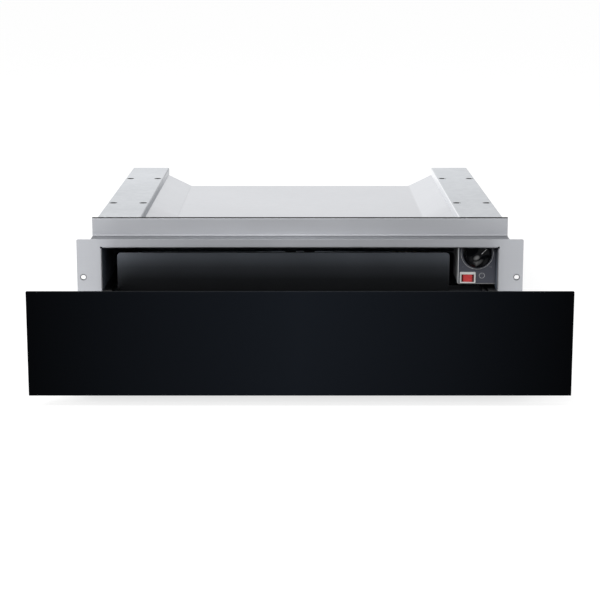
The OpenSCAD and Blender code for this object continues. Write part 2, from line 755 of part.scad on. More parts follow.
// The knob's grip is what two large hollows leave, with a shallow hollow for a fingertip
scoop_r = 17;
scoop_out = 8;
scoop_x = 4 + sqrt(pow(scoop_r, 2) - pow(scoop_out, 2));
dimple_r = 12;
dimple_out = 10.6;
module control_knob() {
    grip_r = knob_d / 2 - 2.2;
    front = knob_back + 0.6 - knob_h;
    top = knob_h + 1.4;
    pointer_x = 1.5;
    color("#141416") in_housing() translate([knob_x, 0, knob_z]) rotate([0, knob_angle, 0])
    difference() {
        rotate([90, 0, 0]) translate([0, 0, -knob_back - 2]) rotate_extrude($fn = 72)
            polygon([[0, 0], [knob_d / 2 - 0.6, 0], [knob_d / 2, 0.6], [knob_d / 2, 1.6],
                [knob_d / 2 - 0.8, 2.4], [grip_r + 0.3, 3], [grip_r, 3.6], [grip_r - 1, top - 2],
                [grip_r - 1.7, top - 0.7], [grip_r - 3, top], [0, top]]);
        for (s = [-1, 1]) translate([s * scoop_x, front - scoop_out, 0]) sphere(scoop_r);
        translate([0, front - dimple_out, -grip_r / 2]) sphere(dimple_r);
        rod_y(0, 0, knob_back - 10, knob_back + 3, shaft_d / 2 + 0.02);
        rod_y(0, 0, knob_back - 2.4, knob_back + 3, bush_r + 0.6);
        box([pointer_x - 0.6, front - 1, 4.5], [pointer_x + 0.6, front + 0.4, grip_r]);
    }
}

module switch_section(play = 0) {
    w = switch_w / 2 - switch_edge_x + play;
    h = switch_h / 2 - switch_edge_z + play;
    rectangle(-w, -h, w, h);
}
module switch_housing() {
    w = switch_w / 2;
    h = switch_h / 2;
    depth = 18;
    color("lightgray") in_housing() translate([switch_x, 0, switch_z]) difference() {
        union() {
            along_y(fascia_y - bezel_t, fascia_y + 0.2) rounded_rectangle(-w, -h, w, h, 1);
            along_y(fascia_y, fascia_y + 0.2 + depth) switch_section();
            for (x = [-6, 0, 6]) box([x - 0.4, fascia_y + depth, -2.4], [x + 0.4, fascia_y + depth + 8, 2.4]);
        }
        translate([0, 0, -rocker_drop]) {
            box([-rocker_w / 2 - rocker_gap, fascia_y - bezel_t - 1, -rocker_h / 2 - rocker_gap],
                [rocker_w / 2 + rocker_gap, fascia_y + 9, rocker_h / 2 + rocker_gap]);
            rod_z(0, rocker_axis_y, -rocker_h / 2 - rocker_pin_out - 0.1,
                rocker_h / 2 + rocker_pin_out + 0.1, rocker_pin_r + run_gap);
        }
    }
}
rocker_pin_r = 0.9;
rocker_pin_out = 0.8;
module red_rocker() {
    half = rocker_w / 2 - 0.5;
    face = fascia_y - bezel_t - rocker_axis_y;
    bevel = 2.2;
    color("crimson") in_housing() translate([switch_x, rocker_axis_y, rocker_z])
        rotate([0, 0, -rocker_tilt]) {
            translate([0, 0, -rocker_h / 2]) linear_extrude(rocker_h)
                polygon([[-half, face + bevel], [bevel - half, face + 0.6], [0, face + 1],
                    [half - bevel, face + 0.6], [half, face + bevel], [half - 1.4, 3], [4, 4.4],
                    [-4, 4.4], [1.4 - half, 3]]);
            rod_z(0, 0, -rocker_h / 2 - rocker_pin_out, rocker_h / 2 + rocker_pin_out, rocker_pin_r);
        }
}

// ---- Fan and heater ----
heater_lead_r = 2.4;
heater_sleeve_r = heater_d / 2 + 1.4;
module ring_heater() {
    color("dimgray") in_housing() translate([0, heater_y, fan_z]) {
        rotate([90, 0, 0]) rotate([0, 0, -75]) rotate_extrude(angle = 330)
            translate([heater_r, 0]) circle(heater_d / 2);
        for (a = [-75, 255]) {
            rod_y(heater_r * cos(a), heater_r * sin(a), -heater_d / 2 - 1, heater_d / 2 + 4, heater_sleeve_r);
            rod_y(heater_r * cos(a), heater_r * sin(a), heater_d / 2 + 3, motor_y - heater_y + 12,
                heater_lead_r);
        }
    }
}
module heater_clips() {
    clip = 9;
    color("silver") in_housing() for (a = [30, 150, 225])
        translate([0, air_back, fan_z]) rotate([0, -a, 0]) translate([heater_r, 0, 0])
        difference() {
            box([-clip / 2, 0, -clip / 2], [clip / 2, heater_y - air_back, clip / 2]);
            translate([-heater_r, heater_y - air_back, 0]) rotate([90, 0, 0]) rotate_extrude()
                translate([heater_r, 0]) circle(heater_d / 2 + seat);
        }
}
module blade() {
    inner = fan_r * 0.62;
    bow = fan_r * 0.5;
    intersection() {
        difference() {
            translate([fan_r * 0.8, bow * 0.8]) circle(bow + 0.5);
            translate([fan_r * 0.8, bow * 0.8]) circle(bow - 0.5);
        }
        difference() {
            circle(fan_r - 0.4);
            circle(inner);
        }
        rectangle(0, -fan_r / 2, fan_r, fan_r * 0.42);
    }
}
module fan_wheel() {
    plate = 1.5;
    hub_r = 8;
    color("dimgray") in_housing() translate([0, 0, fan_z]) difference() {
        union() {
            along_y(fan_y, fan_y + fan_d) for (k = [0 : blade_count - 1]) rotate(k * 360 / blade_count) blade();
            along_y(fan_y + fan_d - plate, fan_y + fan_d) circle(fan_r);
            along_y(fan_y, fan_y + plate) difference() {
                circle(fan_r);
                circle(fan_r * 0.7);
            }
            rod_y(0, 0, fan_y + 3, fan_y + fan_d, hub_r);
        }
        rod_y(0, 0, fan_y, fan_y + fan_d + 1, motor_shaft_d / 2 + 0.02);
    }
}
module motor_shaft() {
    color("gainsboro") in_housing() rod_y(0, fan_z, fan_y + 4, motor_y + motor_len - 3, motor_shaft_d / 2);
}
bracket_w = 118;
bracket_h = 84;
module motor_bracket() {
    w = bracket_w / 2;
    h = bracket_h / 2;
    leg = 8;
    color("silver") in_housing() translate([0, 0, fan_z]) difference() {
        union() {
            along_y(bracket_y, motor_y) rounded_rectangle(-w, -h, w, h, 4);
            for (x = [-1, 1], z = [-1, 1]) translate([x * (w - leg / 2), 0, z * (h - leg / 2)])
                rod_y(0, 0, air_back, bracket_y + eps, leg / 2);
        }
        rod_y(0, 0, bracket_y - 1, motor_y + 1, boss_r + 0.2);
        for (a = [-75, 255]) rod_y(heater_r * cos(a), heater_r * sin(a), bracket_y - 1, motor_y + 1,
            heater_lead_r + 1);
    }
}
module fan_motor() {
    color("slategray") in_housing() translate([0, 0, fan_z]) difference() {
        union() {
            translate([0, motor_y, 0]) rotate([-90, 0, 0]) rotate_extrude()
                polygon([[0, 0], [motor_r - 1.5, 0], [motor_r, 1.5], [motor_r, motor_len * 0.45],
                    [motor_r - 1.5, motor_len * 0.45 + 0.5], [motor_r - 1.5, motor_len - 2],
                    [motor_r - 3.5, motor_len], [0, motor_len]]);
            rod_y(0, 0, motor_y - bracket_t, motor_y + 1, boss_r);
            for (x = [-1, 1]) difference() {
                along_y(motor_y, motor_y + 2) slot(x * motor_r, 0, 22, 12);
                rod_y(x * (motor_r + 5), 0, motor_y - 1, motor_y + 3, 2);
            }
        }
        rod_y(0, 0, motor_y - bracket_t - 1, motor_y + motor_len - 2, motor_shaft_d / 2 + run_gap);
    }
}
module overheat_cutout() {
    color("gainsboro") in_housing() translate([95, air_back, fan_z + 8]) {
        along_y(0, 1) slot(0, 0, 34, 9);
        rod_y(0, 0, 0, 7, 8);
        rod_y(0, 0, 0, 11, 6.5);
        for (x = [-4, 4]) box([x - 0.4, 10, -3.2], [x + 0.4, 20, 3.2]);
    }
}

// ---- Electrical entry ----
block_y = rear_y - 36;
block_pitch = block_w / 5;
function block_poles() = [for (i = [0 : 4]) block_x + (i + 0.5) * block_pitch];
module terminal_block() {
    color("ivory") in_housing() difference() {
        box([block_x, block_y, sheet_t], [block_x + block_w, block_y + block_d, sheet_t + block_h]);
        for (x = block_poles()) {
            rod_y(x, sheet_t + 7, block_y - 1, block_y + block_d + 1, 2.6);
            rod_z(x, block_y + block_d / 2, sheet_t + 7, sheet_t + block_h + 1, 2.7);
        }
        for (i = [1 : 4]) box([block_x + i * block_pitch - 0.7, block_y - 1, sheet_t + 12],
            [block_x + i * block_pitch + 0.7, block_y + 5, sheet_t + block_h + 1]);
    }
}
module terminal_screws() {
    color("goldenrod") in_housing() for (x = block_poles()) difference() {
        rod_z(x, block_y + block_d / 2, sheet_t + 10, sheet_t + 18, 2.5);
        box([x - 3, block_y + block_d / 2 - 0.4, sheet_t + 17], [x + 3, block_y + block_d / 2 + 0.4,
            sheet_t + 19]);
    }
}
gland_neck_r = 8;
module cable_gland() {
    color("#202022") in_housing() translate([gland_x, 0, gland_z]) difference() {
        union() {
            rod_y(0, 0, rear_y - 12, body_d + 2, gland_neck_r);
            rod_y(0, 0, body_d, body_d + 3, gland_r + 1);
            translate([0, body_d + 3, 0]) rotate([-90, 0, 0]) rotate_extrude()
                polygon([[0, 0], [gland_r, 0], [gland_r, gland_out - 6], [gland_neck_r - 1, gland_out - 3],
                    [0, gland_out - 3]]);
            translate([0, rear_y - 5, 0]) rotate([-90, 0, 0]) cylinder(h = 5, r = gland_r + 1.5, $fn = 6);
        }
        rod_y(0, 0, rear_y - 13, body_d + gland_out + 1, gland_bore_d / 2);
    }
}

// ---- Push latch ----
latch_y = air_back;
plunger_y0 = tray_y1 + striker_t + seat;
module latch_body() {
    w = latch_w / 2;
    h = latch_h / 2;
    color("lightgray") in_housing() translate([latch_x, 0, latch_z]) difference() {
        union() {
            along_y(latch_y, latch_y + latch_len) rounded_rectangle(-w, -h, w, h, 2);
            along_y(latch_y, latch_y + 2.5) rounded_rectangle(-w - 9, -h, w + 9, h, 2);
        }
        rod_y(0, 0, latch_y - 1, latch_y + latch_len - 4, plunger_r + run_gap);
        for (x = [-1, 1]) rod_y(x * (w + 4.5), 0, latch_y - 1, latch_y + 3, 1.8);
    }
}
module latch_plunger() {
    color("dimgray") in_housing() translate([latch_x, 0, latch_z]) {
        rod_y(0, 0, plunger_y0 + 1, latch_y + latch_len - 6 - latch_travel, plunger_r);
        translate([0, plunger_y0 + 1, 0]) rotate([90, 0, 0]) cylinder(h = 1, r1 = plunger_r, r2 = plunger_r - 1);
    }
}
module latch_striker() {
    color("gray") on_drawer() along_y(tray_y1, tray_y1 + striker_t)
        translate([latch_x, latch_z]) rounded_rectangle(-11, -7, 11, 7, 2);
}

// ---- Drawer ----
front_z0 = frame_lift;
front_z1 = frame_lift + front_h;
carrier_x = front_w / 2 - glass_overhang;
carrier_z0 = front_z0 + glass_overhang;
carrier_z1 = front_z1 - glass_overhang;
module arris_cut() {
    polygon([[-1, -1], [glass_arris, -1], [glass_arris, 0], [0, glass_arris], [-1, glass_arris]]);
}
module front_glass() {
    color("#0d0f12") on_drawer() difference() {
        along_y(-front_t, carrier_y0)
            rounded_rectangle(-front_w / 2, front_z0, front_w / 2, front_z1, 0.8);
        along_x(-front_w, front_w) translate([-front_t, front_z0]) arris_cut();
        along_x(-front_w, front_w) translate([-front_t, front_z1]) mirror([0, 1]) arris_cut();
        both_sides() translate([-front_w / 2, -front_t, 0]) linear_extrude(2 * front_z1) arris_cut();
    }
}
module front_carrier() {
    color("#2a2b2e") on_drawer() {
        along_y(carrier_y0, carrier_y0 + sheet_t)
            rectangle(-carrier_x, carrier_z0, carrier_x, carrier_z1);
        along_y(carrier_y0, carrier_y1) difference() {
            rectangle(-carrier_x, carrier_z0, carrier_x, carrier_z1);
            rectangle(-carrier_x + sheet_t, carrier_z0 + sheet_t, carrier_x - sheet_t,
                carrier_z1 - sheet_t);
        }
    }
}
module front_inner_panel() {
    edge = sheet_t + 0.2;
    x = carrier_x - edge;
    dish = 3;
    color("gainsboro") on_drawer() difference() {
        union() {
            along_y(carrier_y1 - sheet_t, carrier_y1)
                rounded_rectangle(-x, carrier_z0 + edge, x, carrier_z1 - edge, 2);
            along_y(carrier_y0 + sheet_t + 0.2, carrier_y1) difference() {
                rectangle(-x, carrier_z0 + edge, x, carrier_z1 - edge);
                rectangle(-x + sheet_t, carrier_z0 + edge + sheet_t, x - sheet_t,
                    carrier_z1 - edge - sheet_t);
            }
        }
        for (p = tray_bolts()) rod_y(p[0], p[1], carrier_y1 - dish, 1, screw_hole_r);
    }
}
seal_x = opening_x + 6;
seal_z1 = opening_z1 + 4;
seal_w = 5;
module front_seal() {
    color("#333333") on_drawer() along_y(carrier_y1, carrier_y1 + seal_t) difference() {
        rounded_rectangle(-seal_x, front_z0 + 10, seal_x, seal_z1, 3);
        rectangle(-seal_x + seal_w, front_z0 - 5, seal_x - seal_w, seal_z1 - seal_w);
    }
}
module front_buffers() {
    color("#222222") on_drawer() for (x = [-1, 1], z = [frame_lift + 14, frame_top - 14])
        translate([x * (carrier_x - 10.5), carrier_y1, z]) rotate([-90, 0, 0])
            cylinder(h = seal_t, r1 = 5.5, r2 = 4.5);
}

function tray_bolts() = [for (x = [-0.8, -0.3, 0.3, 0.8]) [x * tray_x, tray_z + tray_side_h * 0.55]];
module drawer_tray() {
    y0 = carrier_y1;
    color("#3c3e42") on_drawer() difference() {
        union() {
            along_y(y0, tray_y1) folded([[-tray_x + tray_lip, tray_top], [-tray_x, tray_top],
                [-tray_x, tray_z], [tray_x, tray_z], [tray_x, tray_top],
                [tray_x - tray_lip, tray_top]], t = tray_t);
            along_x(-tray_x + tray_t + 0.5, tray_x - tray_t - 0.5)
                folded([[y0, tray_top], [y0, tray_z], [y0 + 12, tray_z]], t = tray_t);
            along_x(-tray_x + tray_t + 0.5, tray_x - tray_t - 0.5)
                folded([[tray_y1 - 12, tray_z], [tray_y1, tray_z], [tray_y1, tray_top]], t = tray_t);
        }
        for (p = tray_bolts()) rod_y(p[0], p[1], y0 - 1, y0 + 3, screw_hole_r);
        for (y = rivet_places())
            both_sides() rod_x(y, runner_z, tray_x - 2 * tray_t, tray_x + 1, rivet_r + 0.1);
    }
}
module tray_back_wall() {
    foot = back_wall_setback - 2.5;
    wall_t = tray_t;
    color("#2c2e32") on_drawer() difference() {
        union() {
            along_y(back_wall_y, back_wall_y + wall_t) {
                rounded_rectangle(back_wall_x0, tray_floor, back_wall_x1, back_wall_top, back_wall_r);
                rectangle(back_wall_x0, tray_floor, back_wall_x1, tray_floor + 2 * back_wall_r);
            }
            box([back_wall_x0, back_wall_y, tray_floor],
                [back_wall_x1, back_wall_y + foot, tray_floor + wall_t]);
            box([back_wall_x0 + back_wall_r + 4, back_wall_y, back_wall_top - wall_t],
                [back_wall_x1 - back_wall_r - 4, back_wall_y + 6, back_wall_top]);
        }
    }
}
module non_slip_mat() {
    z0 = tray_floor;
    mat_x = tray_x - tray_lip - mat_margin;
    mat_y0 = carrier_y1 + tray_t + mat_margin;
    mat_y1 = back_wall_y - mat_margin;
    ribs = floor((mat_y1 - mat_y0) / mat_pitch);
    color("#26272a") on_drawer() difference() {
        translate([0, 0, z0]) linear_extrude(mat_t) rounded_rectangle(-mat_x, mat_y0, mat_x, mat_y1, 4);
        for (i = [1 : ribs - 1]) box([-mat_x + 6, mat_y0 + i * mat_pitch, z0 + mat_t / 2],
            [mat_x - 6, mat_y0 + i * mat_pitch + 3, z0 + mat_t + 1]);
    }
}

base_pan();
left_side_panel();
right_side_panel();
front_frame();
top_cover();
rear_panel();
cavity_liner();
air_panel();
liner_supports();
runner_brackets();
insulation_mat();
control_box();
control_fascia();
thermostat_body();
switch_housing();
ring_heater();
heater_clips();
fan_motor();
motor_bracket();
overheat_cutout();
terminal_block();
terminal_screws();
cable_gland();
left_outer_runner();
right_outer_runner();
latch_body();
rear_screws();
front_glass();
front_carrier();
front_inner_panel();
front_seal();
front_buffers();
drawer_tray();
tray_back_wall();
non_slip_mat();
left_inner_runner();
right_inner_runner();
latch_striker();
left_middle_runner();
right_middle_runner();
left_outer_cage();
right_outer_cage();
left_outer_balls();
right_outer_balls();
left_inner_cage();
right_inner_cage();
left_inner_balls();
right_inner_balls();
control_knob();
thermostat_shaft();
red_rocker();
fan_wheel();
motor_shaft();
latch_plunger();
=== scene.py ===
import json
import math

import bmesh
import bpy
from mathutils import Matrix, Vector


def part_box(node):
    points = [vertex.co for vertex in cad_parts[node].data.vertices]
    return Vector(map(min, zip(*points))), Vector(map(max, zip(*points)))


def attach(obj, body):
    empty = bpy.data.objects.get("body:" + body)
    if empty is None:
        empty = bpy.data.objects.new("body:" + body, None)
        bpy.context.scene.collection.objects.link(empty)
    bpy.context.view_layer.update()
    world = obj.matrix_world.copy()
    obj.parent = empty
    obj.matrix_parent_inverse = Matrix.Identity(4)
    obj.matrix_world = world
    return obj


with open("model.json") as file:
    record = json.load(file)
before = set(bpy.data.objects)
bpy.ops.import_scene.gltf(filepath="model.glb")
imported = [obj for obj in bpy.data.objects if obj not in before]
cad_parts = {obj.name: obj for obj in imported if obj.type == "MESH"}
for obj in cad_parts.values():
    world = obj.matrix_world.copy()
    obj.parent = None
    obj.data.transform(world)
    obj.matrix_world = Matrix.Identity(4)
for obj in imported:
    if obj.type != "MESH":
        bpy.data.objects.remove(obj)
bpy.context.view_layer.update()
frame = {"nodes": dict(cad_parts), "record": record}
nodes = frame["nodes"]
scene = bpy.context.scene
scene.view_settings.view_transform = "Standard"

# ---- Places that the frame gives, and measures that its boxes don't show (metres) ----
FACE_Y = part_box("front_frame")[0].y          # the front frame's plane
FRAME_TOP_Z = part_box("front_frame")[1].z     # the set-back bar's upper edge
TOP_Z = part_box("left_side_panel")[1].z       # the rails' upper faces
EAR_HOLE = {"x": 0.2878, "z": 0.06365, "radius": 0.00325}
LEDGE_DROP = 0.0244                          # from the bar's upper edge down to the ledge
BAR_BEHIND = 0.0026                          # the frame is bar and ledge this far behind its plane
RAIL_TOP_DEPTH = 0.004                       # below the rails' upper faces no hole gets painted shade round its rim
BARE_EDGE = 0.0004                           # how deep the control box's front edge is bare
RAIL_HOLE = {"x": 0.2418, "half_gap": 0.021, "y": 0.217, "half_pitch": 0.127, "radius": 0.005}

# ---- The camera, as the photograph's perspective gives it ----
LENS, SENSOR = 103.62, 36                    # mm
CAMERA_BACK, CAMERA_UP = 2.25284, 0.50129    # from the frame's plane and from the floor
CAMERA_PITCH = 11.7496                       # degrees down

# ---- Light ----
LAMP_AIM = (0, 0, 0.1)
LAMPS = {
    "key": {"place": (-1.5, -1.3, 2.1), "size": (1.2, 1.2), "power": 30},
    "front": {"place": (-0.3, -3.2, 1.3), "size": (2.2, 0.9), "power": 40},
}
WORLD_LIGHT = 0.55         # what lights the object
WORLD_SEEN = 1.0           # what the camera sees: white
MIRRORED_WORLD = {"From Min": 0.0, "From Max": 0.5, "To Min": 1.0, "To Max": 0.5}    # by the direction's X
FLOOR_HALF = 60.0
FLOOR_GREY = 0.45
FLOOR_GLOW = 0.74          # what the camera, metal and glass see on top of the floor's own light

# ---- Painted shade ----
# It stands for the light and shade of the photograph's studio. It goes by the place on the object and not by the
# camera, so it stays the same under any other light. The pairs are a place in metres and a level.
WIDTH_SPAN = (-0.3, 0.3)
DEPTH_SPAN = (-0.1, 0.5)
HEIGHT_SPAN = (0.0, 0.1)
SMALL_SPAN = (0.0, 0.01)
EDGE_SPAN = (-0.002, 0.004)
COVER_SPAN = (0.15, 0.2)                     # round the foot of the cover's two slopes
GLASS_SHADE = ((-0.3, 0.14), (-0.15, 0.62), (0.0, 1.0), (0.15, 0.64), (0.3, 0.14))
FRAME_SHADE = ((-0.27, 0.885), (-0.245, 0.71), (0.0, 0.84), (0.25, 0.70), (0.272, 0.86))
BAR_SHADE = ((-0.27, 0.88), (-0.24, 0.82), (0.0, 1.0), (0.2, 0.85), (0.27, 0.88))
HOUSING_SHADE = ((0.0, 0.89), (0.12, 0.915), (0.36, 1.0))
COVER_WIDTH_SHADE = ((0.176, 0.9), (0.1785, 1.0))
COVER_DEPTH_SHADE = ((0.10, 0.87), (0.16, 0.96), (0.3, 1.0))
TRAY_SHADE = ((0.034, 0.50), (0.039, 0.065), (0.055, 0.12), (0.071, 0.38), (0.088, 1.0))
RIGHT_STEP, LEFT_STEP = (0.95, 0.96, 0.98), (0.46, 0.48, 0.51)
STEP_FROM, STEP_FACING = 0.2, 0.7            # the rails' inner steps: how far out, and how squarely they face inwards
# these start from an edge: the ledge's plane, a hole's rim, the control box's lower edge, the rocker's end
LEDGE_SHADE = ((-0.0005, 1.0), (-0.0002, 0.62), (0.0008, 0.62), (0.0022, 0.92))
EAR_RIM_SHADE = ((0.0004, 0.12), (0.0014, 1.0))
RAIL_RIM_SHADE = ((0.0005, 0.08), (0.0010, 1.0))
BOX_EDGE_SHADE = ((0.0012, 0.36), (0.0018, 1.0))
ROCKER_END_SHADE = ((-0.0024, 1.0), (-0.0016, 0.25))
# the knob's two painted highlights: place from its middle, size, how much flatter than round, level
KNOB_SPOTS = ((-0.0026, -0.0032, 0.0050, 1.4, 0.22), (0.0010, -0.0098, 0.0072, 2.0, 0.16))
KNOB_SPOT_LEAN = 30                          # degrees


# ---- Camera ----
camera_data = bpy.data.cameras.new("camera")
camera_data.lens = LENS
camera_data.sensor_width = SENSOR
camera_data.clip_end = 200
camera = bpy.data.objects.new("camera", camera_data)
camera.location = (0, FACE_Y - CAMERA_BACK, CAMERA_UP)
camera.rotation_euler = (math.radians(90 - CAMERA_PITCH), 0, 0)
scene.collection.objects.link(camera)
scene.camera = camera


# ---- Material tools ----
def shade(colour, factor):
    return tuple(min(1.0, c * factor) for c in colour)


def from_edge(edge, stops):
    return [(edge + away, level) for away, level in stops]


class Finish:
    """A Principled material whose textures are laid out in the frame's own metres."""

    def __init__(self, name, **sockets):
        self.material = bpy.data.materials.new(name)
        self.material.use_nodes = True
        self.tree = self.material.node_tree
        self.bsdf = self.tree.nodes["Principled BSDF"]
        for key, value in sockets.items():
            self.bsdf.inputs[key.replace("_", " ").title().replace("Ior", "IOR")].default_value = value
        self.place = self.tree.nodes.new("ShaderNodeTexCoord").outputs["Object"]

    def add(self, kind, **settings):
        node = self.tree.nodes.new(kind)
        for key, value in settings.items():
            setattr(node, key, value)
        return node

    def link(self, a, b):
        self.tree.links.new(a, b)

    def stretched(self, scale):
        node = self.add("ShaderNodeMapping")
        self.link(self.place, node.inputs["Vector"])
        node.inputs["Scale"].default_value = scale
        return node.outputs["Vector"]

    def noise(self, scale, size, detail, rough, distortion=0.0):
        node = self.add("ShaderNodeTexNoise")
        self.link(self.stretched(scale), node.inputs["Vector"])
        node.inputs["Scale"].default_value = size
        node.inputs["Detail"].default_value = detail
        node.inputs["Roughness"].default_value = rough
        node.inputs["Distortion"].default_value = distortion
        return node.outputs["Fac"]

    def cells(self, size):
        """A grey level of its own for each crystal."""
        node = self.add("ShaderNodeTexVoronoi", feature="F1")
        self.link(self.place, node.inputs["Vector"])
        node.inputs["Scale"].default_value = size
        tone = self.add("ShaderNodeSeparateColor")
        self.link(node.outputs["Color"], tone.inputs[0])
        return tone.outputs[0]

    def spread(self, value, low, high, start=0.3, stop=0.7):
        node = self.add("ShaderNodeMapRange")
        self.link(value, node.inputs["Value"])
        for key, number in (("From Min", start), ("From Max", stop), ("To Min", low), ("To Max", high)):
            node.inputs[key].default_value = number
        return node.outputs["Result"]

    def maths(self, a, b, operation="ADD"):
        node = self.add("ShaderNodeMath", operation=operation)
        self.link(a, node.inputs[0])
        if isinstance(b, (int, float)):
            node.inputs[1].default_value = b
        else:
            self.link(b, node.inputs[1])
        return node.outputs[0]

    def absolute(self, value):
        return self.maths(value, 0.0, "ABSOLUTE")

    def from_middle(self, value, middle):
        return self.absolute(self.maths(value, middle, "SUBTRACT"))

    def off(self, *terms):
        """The length of the vector made of these terms."""
        node = self.add("ShaderNodeCombineXYZ")
        for i, term in enumerate(terms):
            self.link(term, node.inputs[i])
        size = self.add("ShaderNodeVectorMath", operation="LENGTH")
        self.link(node.outputs[0], size.inputs[0])
        return size.outputs["Value"]

    def axis(self, letter):
        node = self.add("ShaderNodeSeparateXYZ")
        self.link(self.place, node.inputs[0])
        return node.outputs[letter]

    def normal(self, letter):
        split = self.add("ShaderNodeSeparateXYZ")
        self.link(self.add("ShaderNodeTexCoord").outputs["Normal"], split.inputs[0])
        return split.outputs[letter]

    def mixed(self, factor, low, high):
        node = self.add("ShaderNodeMix", data_type="RGBA")
        self.link(factor, node.inputs["Factor"])
        for key, colour in ((6, low), (7, high)):
            if isinstance(colour, (tuple, list)):
                node.inputs[key].default_value = (*colour, 1)
            else:
                self.link(colour, node.inputs[key])
        return node.outputs[2]

    def ramp(self, value, start, stop, stops):
        """A grey curve over a length: stops are (place in metres, level)."""
        node = self.add("ShaderNodeValToRGB")
        self.link(self.spread(value, 0, 1, start, stop), node.inputs["Fac"])
        points = node.color_ramp.elements
        for i, (place, level) in enumerate((stops[0], stops[-1], *stops[1:-1])):
            position = (place - start) / (stop - start)
            point = points[i] if i < 2 else points.new(position)
            point.position = position
            point.color = (level, level, level, 1)
        return node.outputs["Color"]

    def paint(self):
        """What the base colour comes from so far."""
        return self.bsdf.inputs["Base Color"].links[0].from_socket

    def colour(self, output):
        self.link(output, self.bsdf.inputs["Base Color"])

    def toned(self, pattern, colour, vary, reach=0.8):
        """The colour, darker and lighter by a share as the pattern goes from -reach to reach."""
        factor = self.spread(pattern, 0, 1, -reach, reach)
        self.colour(self.mixed(factor, shade(colour, 1 - vary), shade(colour, 1 + vary)))

    def dimmed(self, factor):
        """Multiply the base colour by a grey factor."""
        source = self.paint()
        node = self.add("ShaderNodeMix", data_type="RGBA", blend_type="MULTIPLY")
        node.inputs["Factor"].default_value = 1
        self.link(source, node.inputs[6])
        self.link(factor, node.inputs[7])
        self.colour(node.outputs[2])

    def roughness(self, output):
        self.link(output, self.bsdf.inputs["Roughness"])

    def relief(self, height, distance, strength, edge=0.0):
        """Bump, on edges that are rounded by the given radius."""
        bump = self.add("ShaderNodeBump")
        bump.inputs["Strength"].default_value = strength
        bump.inputs["Distance"].default_value = distance
        self.link(height, bump.inputs["Height"])
        if edge:
            bevel = self.add("ShaderNodeBevel", samples=4)
            bevel.inputs["Radius"].default_value = edge
            self.link(bevel.outputs["Normal"], bump.inputs["Normal"])
        self.link(bump.outputs["Normal"], self.bsdf.inputs["Normal"])


EVEN = (1, 1, 1)


# ---- Kinds of finish ----
def brushed(name, colour, rough, along="x", depth=0.00001, edge=0.0004, vary=0.07):
    """Bare metal with fine lines along one axis and faint smears."""
    f = Finish(name, metallic=1.0)
    scale = {"x": (4, 900, 900), "y": (900, 4, 900)}[along]
    lines = f.noise(scale, 1.0, 5, 0.6)
    smears = f.noise(EVEN, 9.0, 3, 0.6)
    both = f.maths(f.spread(lines, -0.5, 0.5), f.spread(smears, -0.5, 0.5))
    f.toned(both, colour, vary)
    f.roughness(f.spread(both, rough - 0.06, rough + 0.06, -0.8, 0.8))
    f.relief(lines, depth, 0.6, edge)
    return f


def zinc(name, colour, rough, crystals=130, edge=0.0004, vary=0.05, grain=0.000006, swing=0.05):
    """Zinc-coated sheet: faint crystals, rolling haze and handling marks."""
    f = Finish(name, metallic=1.0)
    tone = f.cells(crystals)
    haze = f.noise(EVEN, 7.0, 4, 0.6)
    fine = f.noise(EVEN, 800.0, 2, 0.5)
    both = f.maths(f.spread(tone, -0.5, 0.5, 0, 1), f.spread(haze, -0.6, 0.6))
    f.toned(both, colour, vary, 0.9)
    f.roughness(f.spread(both, rough + swing, rough - swing, -0.9, 0.9))
    f.relief(fine, grain, 0.5, edge)
    return f


def painted(name, colour, rough, peel=900, depth=0.00002, edge=0.0005, vary=0.12, specular=0.4, metallic=0.0):
    """Powder coat: orange peel, fine speckle and a slow change of tone."""
    f = Finish(name, specular_ior_level=specular, metallic=metallic)
    skin = f.noise(EVEN, peel, 2, 0.5)
    slow = f.noise(EVEN, 6.0, 3, 0.5)
    grit = f.noise(EVEN, peel * 3.3, 1, 0.5)
    both = f.maths(f.spread(grit, -0.5, 0.5), f.spread(slow, -0.5, 0.5))
    f.toned(both, colour, vary)
    f.roughness(f.spread(both, rough - 0.05, rough + 0.05, -0.8, 0.8))
    f.relief(skin, depth, 0.5, edge)
    return f


def moulded(name, colour, rough, grain=2200, depth=0.000015, edge=0.0003, specular=0.5, vary=0.08):
    """Moulded plastic or rubber: fine grain and faint flow marks."""
    f = Finish(name, specular_ior_level=specular)
    spark = f.noise(EVEN, grain, 3, 0.6)
    flow = f.noise((1, 1, 2.5), 60.0, 3, 0.5, 0.6)
    both = f.maths(f.spread(spark, -0.4, 0.4), f.spread(flow, -0.5, 0.5))
    f.toned(both, colour, vary)
    f.roughness(f.spread(both, rough - 0.05, rough + 0.06, -0.8, 0.8))
    f.relief(spark, depth, 0.6, edge)
    return f


def black_glass():
    """Back-painted glass, ground matt along its edges. It has almost no clear reflection and gets darker towards its
    ends, as in the photograph."""
    f = Finish("black_glass", specular_ior_level=0.01)
    wave = f.noise(EVEN, 3.0, 2, 0.4)
    dust = f.noise(EVEN, 500.0, 2, 0.5)
    ground = f.spread(f.absolute(f.normal("Y")), 0.5, 0.0, 0.80, 0.95)
    f.colour(f.mixed(f.spread(wave, 0, 1), (0.0070, 0.0088, 0.0122), (0.0080, 0.0100, 0.0138)))
    # painted reflection and shade: lighter in the middle of the glass, darker towards its ends
    f.dimmed(f.ramp(f.axis("X"), *WIDTH_SPAN, GLASS_SHADE))
    f.roughness(f.maths(f.spread(dust, 0.03, 0.08), ground))
    f.relief(wave, 0.00002, 0.3, 0.0006)
    return f


